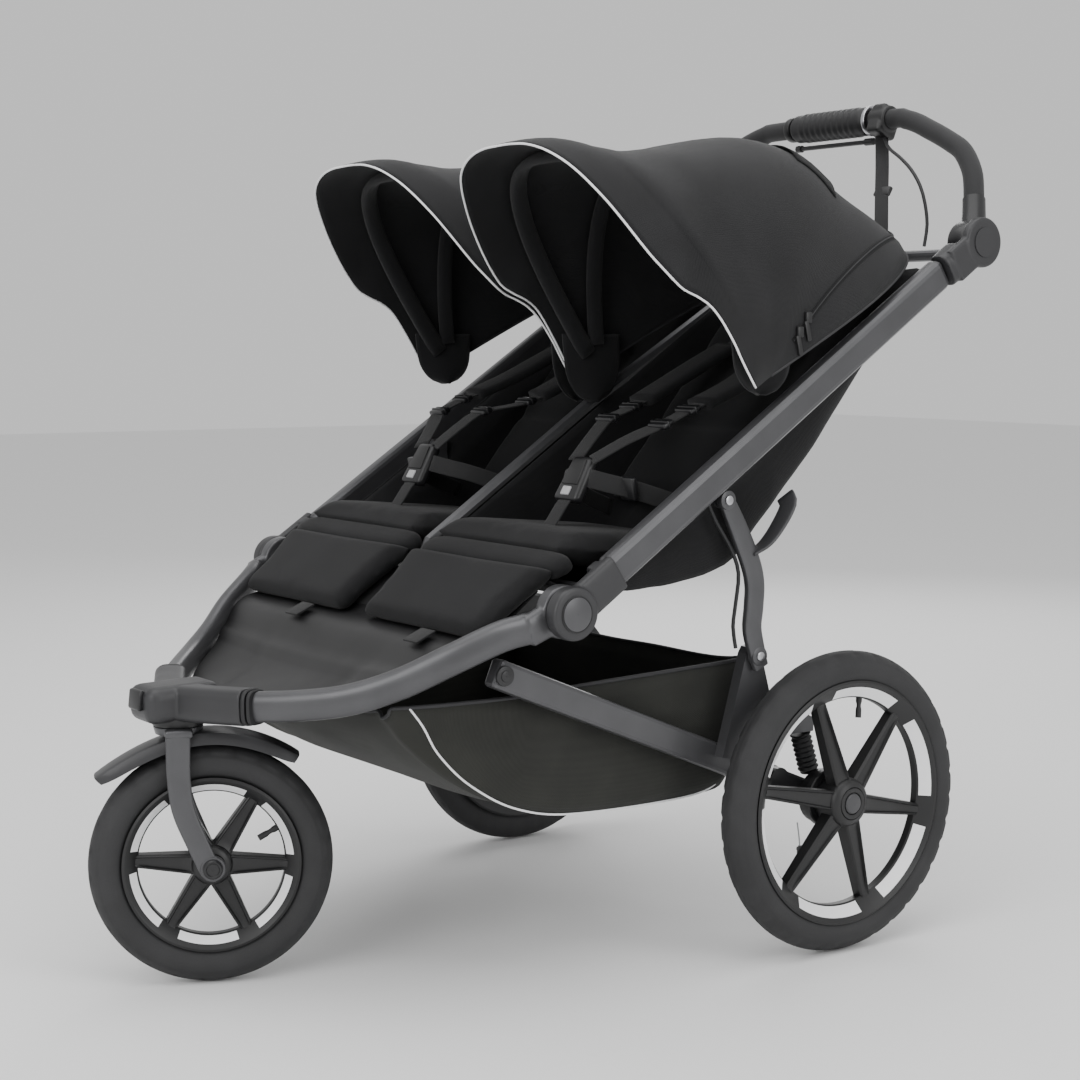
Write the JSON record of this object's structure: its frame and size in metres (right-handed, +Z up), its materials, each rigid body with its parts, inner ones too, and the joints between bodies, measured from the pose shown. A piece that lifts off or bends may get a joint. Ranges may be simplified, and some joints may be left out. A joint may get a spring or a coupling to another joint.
{
  "type": "double jogging stroller",
  "caption": "Side-by-side jogging stroller with air tyres, a swivelling front wheel, two hooded seats, an adjustable handlebar and a fabric basket; it folds at the side hinges.",
  "frame": {"origin": "on the floor under the middle of the outline seen from above", "axes": "+Z up, -Y the way the stroller faces and rolls, +X the side that carries the wrist strap and the brake cables"},
  "size_m": [0.7942, 1.2202, 1.1497],
  "materials": {
    "frame_paint": "charcoal satin metallic powder coat",
    "black_plastic": "fine grained",
    "grey_plastic": "satin",
    "tyre_rubber": "ribbed, matte",
    "soft_rubber": "satin",
    "grip_foam": "matte closed-cell foam",
    "steel": "satin",
    "canopy_fabric": "woven, matte",
    "seat_fabric": "woven, padded, matte",
    "webbing": "woven band"
  },
  "bodies": {
    "chassis": {"hub_casing": "black_plastic", "footrest_crossbar": "frame_paint", "footwell_panel": "black_plastic", "front_tube_left": "frame_paint", "front_tube_right": "frame_paint", "footrest_pad_left": "seat_fabric", "footrest_pad_right": "seat_fabric"},
    "swivel_lock": {"swivel_lock_button": "grey_plastic"},
    "caster": {"front_fork": "frame_paint", "mudguard": "black_plastic", "front_axle": "steel"},
    "front_wheel": {"front_tyre": "tyre_rubber", "front_rim": "black_plastic"},
    "rear_chassis": {"rail_left": "frame_paint", "rail_right": "frame_paint", "rear_bracket_left": "frame_paint", "rear_bracket_right": "frame_paint", "rear_crossbar": "frame_paint", "basket": "canopy_fabric"},
    "pedal": {"brake_pedal": "black_plastic"},
    "upper_frame": {"side_tube_left": "frame_paint", "side_tube_right": "frame_paint", "fold_housing_left": "black_plastic", "fold_housing_right": "black_plastic", "handle_casing_left": "black_plastic", "handle_casing_right": "black_plastic", "seat_frame": "frame_paint", "seat_cushion_left": "seat_fabric", "seat_cushion_right": "seat_fabric", "buckle_left": "black_plastic", "buckle_right": "black_plastic"},
    "struts": {"strut_left": "frame_paint", "strut_right": "frame_paint", "brake_cable_lower": "soft_rubber"},
    "handle": {"handlebar": "grip_foam", "squeeze_lever": "steel", "brake_cable_upper": "soft_rubber", "safety_strap": "webbing"},
    "grip": {"twist_grip": "black_plastic"},
    "arm_left": {"suspension_arm_left": "black_plastic", "bellows_left": "soft_rubber"},
    "rear_wheel_left": {"rear_tyre_left": "tyre_rubber", "rear_rim_left": "black_plastic"},
    "hub_release_left": {"release_button_left": "grey_plastic"},
    "seat_back_left": {"backrest_left": "seat_fabric"},
    "hood_left": {"canopy_left": "canopy_fabric", "canopy_bow_left": "black_plastic"},
    "harness_release_left": {"buckle_button_left": "grey_plastic"},
    "height_release_left": {"height_button_left": "black_plastic"},
    "arm_right": {"suspension_arm_right": "black_plastic", "bellows_right": "soft_rubber"},
    "rear_wheel_right": {"rear_tyre_right": "tyre_rubber", "rear_rim_right": "black_plastic"},
    "hub_release_right": {"release_button_right": "grey_plastic"},
    "seat_back_right": {"backrest_right": "seat_fabric"},
    "hood_right": {"canopy_right": "canopy_fabric", "canopy_bow_right": "black_plastic"},
    "harness_release_right": {"buckle_button_right": "grey_plastic"},
    "height_release_right": {"height_button_right": "black_plastic"}
  },
  "joints": [
    {"name": "front_swivel", "type": "hinge", "parent": "chassis", "child": "caster", "pos_m": [0, -0.5056, 0.33], "axis": [0, 0, 1], "continuous": true},
    {"name": "front_wheel_spin", "type": "hinge", "parent": "caster", "child": "front_wheel", "pos_m": [0.01611, -0.47008, 0.152], "axis": [0.9107, -0.4131, 0], "continuous": true},
    {"name": "fold", "type": "hinge", "parent": "chassis", "child": "upper_frame", "pos_m": [0, -0.1716, 0.482], "axis": [1, 0, 0], "range_deg": [0, 105], "deforming": ["footrest_pad_left", "footrest_pad_right"]},
    {"name": "rail_fold", "type": "hinge", "parent": "chassis", "child": "rear_chassis", "pos_m": [0, -0.2306, 0.4055], "axis": [1, 0, 0], "range_deg": [0, 80], "deforming": ["basket"]},
    {"name": "strut_pin", "type": "hinge", "parent": "upper_frame", "child": "struts", "pos_m": [0, 0.0934, 0.603], "axis": [1, 0, 0], "range_deg": [-6, 1]},
    {"name": "handlebar_tilt", "type": "hinge", "parent": "upper_frame", "child": "handle", "pos_m": [0, 0.5094, 0.937], "axis": [1, 0, 0], "range_deg": [-70, 20], "deforming": ["safety_strap", "brake_cable_upper"]},
    {"name": "twist_brake", "type": "hinge", "parent": "handle", "child": "grip", "pos_m": [0, 0.58862, 1.12824], "axis": [1, 0, 0], "range_deg": [0, 35], "stiffness_Nm_per_rad": 0.25},
    {"name": "brake_pedal_tilt", "type": "hinge", "parent": "rear_chassis", "child": "pedal", "pos_m": [0, 0.1944, 0.225], "axis": [1, 0, 0], "range_deg": [-18, 0]},
    {"name": "swivel_lock_press", "type": "slide", "parent": "chassis", "child": "swivel_lock", "axis": [0, 1, 0], "range_m": [0, 0.003], "stiffness_N_per_m": 500},
    {"name": "suspension_left", "type": "hinge", "parent": "rear_chassis", "child": "arm_left", "pos_m": [0, 0.1994, 0.229], "axis": [1, 0, 0], "range_deg": [0, 6], "stiffness_Nm_per_rad": 60, "springref_deg": -4.3, "deforming": ["bellows_left"]},
    {"name": "rear_wheel_spin_left", "type": "hinge", "parent": "arm_left", "child": "rear_wheel_left", "pos_m": [0.3696, 0.2694, 0.2], "axis": [1, 0, 0], "continuous": true},
    {"name": "wheel_release_left", "type": "slide", "parent": "rear_wheel_left", "child": "hub_release_left", "axis": [-1, 0, 0], "range_m": [0, 0.0025], "stiffness_N_per_m": 500},
    {"name": "recline_left", "type": "hinge", "parent": "upper_frame", "child": "seat_back_left", "pos_m": [0, 0.1444, 0.56], "axis": [1, 0, 0], "range_deg": [-14, 12]},
    {"name": "hood_fold_left", "type": "hinge", "parent": "upper_frame", "child": "hood_left", "pos_m": [0, 0.1294, 0.76], "axis": [1, 0, 0], "range_deg": [-80, 0], "deforming": ["canopy_left"]},
    {"name": "harness_release_press_left", "type": "slide", "parent": "upper_frame", "child": "harness_release_left", "axis": [0, 0.866, -0.5], "range_m": [0, 0.0022], "stiffness_N_per_m": 500},
    {"name": "height_release_press_left", "type": "slide", "parent": "upper_frame", "child": "height_release_left", "axis": [-1, 0, 0], "range_m": [0, 0.003], "stiffness_N_per_m": 500},
    {"name": "suspension_right", "type": "hinge", "parent": "rear_chassis", "child": "arm_right", "pos_m": [0, 0.1994, 0.229], "axis": [1, 0, 0], "range_deg": [0, 6], "stiffness_Nm_per_rad": 60, "springref_deg": -4.3, "deforming": ["bellows_right"]},
    {"name": "rear_wheel_spin_right", "type": "hinge", "parent": "arm_right", "child": "rear_wheel_right", "pos_m": [-0.3696, 0.2694, 0.2], "axis": [1, 0, 0], "continuous": true},
    {"name": "wheel_release_right", "type": "slide", "parent": "rear_wheel_right", "child": "hub_release_right", "axis": [1, 0, 0], "range_m": [0, 0.0025], "stiffness_N_per_m": 500},
    {"name": "recline_right", "type": "hinge", "parent": "upper_frame", "child": "seat_back_right", "pos_m": [0, 0.1444, 0.56], "axis": [1, 0, 0], "range_deg": [-14, 12]},
    {"name": "hood_fold_right", "type": "hinge", "parent": "upper_frame", "child": "hood_right", "pos_m": [0, 0.1294, 0.76], "axis": [1, 0, 0], "range_deg": [-80, 0], "deforming": ["canopy_right"]},
    {"name": "harness_release_press_right", "type": "slide", "parent": "upper_frame", "child": "harness_release_right", "axis": [0, 0.866, -0.5], "range_m": [0, 0.0022], "stiffness_N_per_m": 500},
    {"name": "height_release_press_right", "type": "slide", "parent": "upper_frame", "child": "height_release_right", "axis": [1, 0, 0], "range_m": [0, 0.003], "stiffness_N_per_m": 500}
  ],
  "couplings": [
    {"joint": "rail_fold", "follows": "fold", "ratio": 0.76},
    {"joint": "strut_pin", "follows": "fold", "ratio": -0.05}
  ]
}
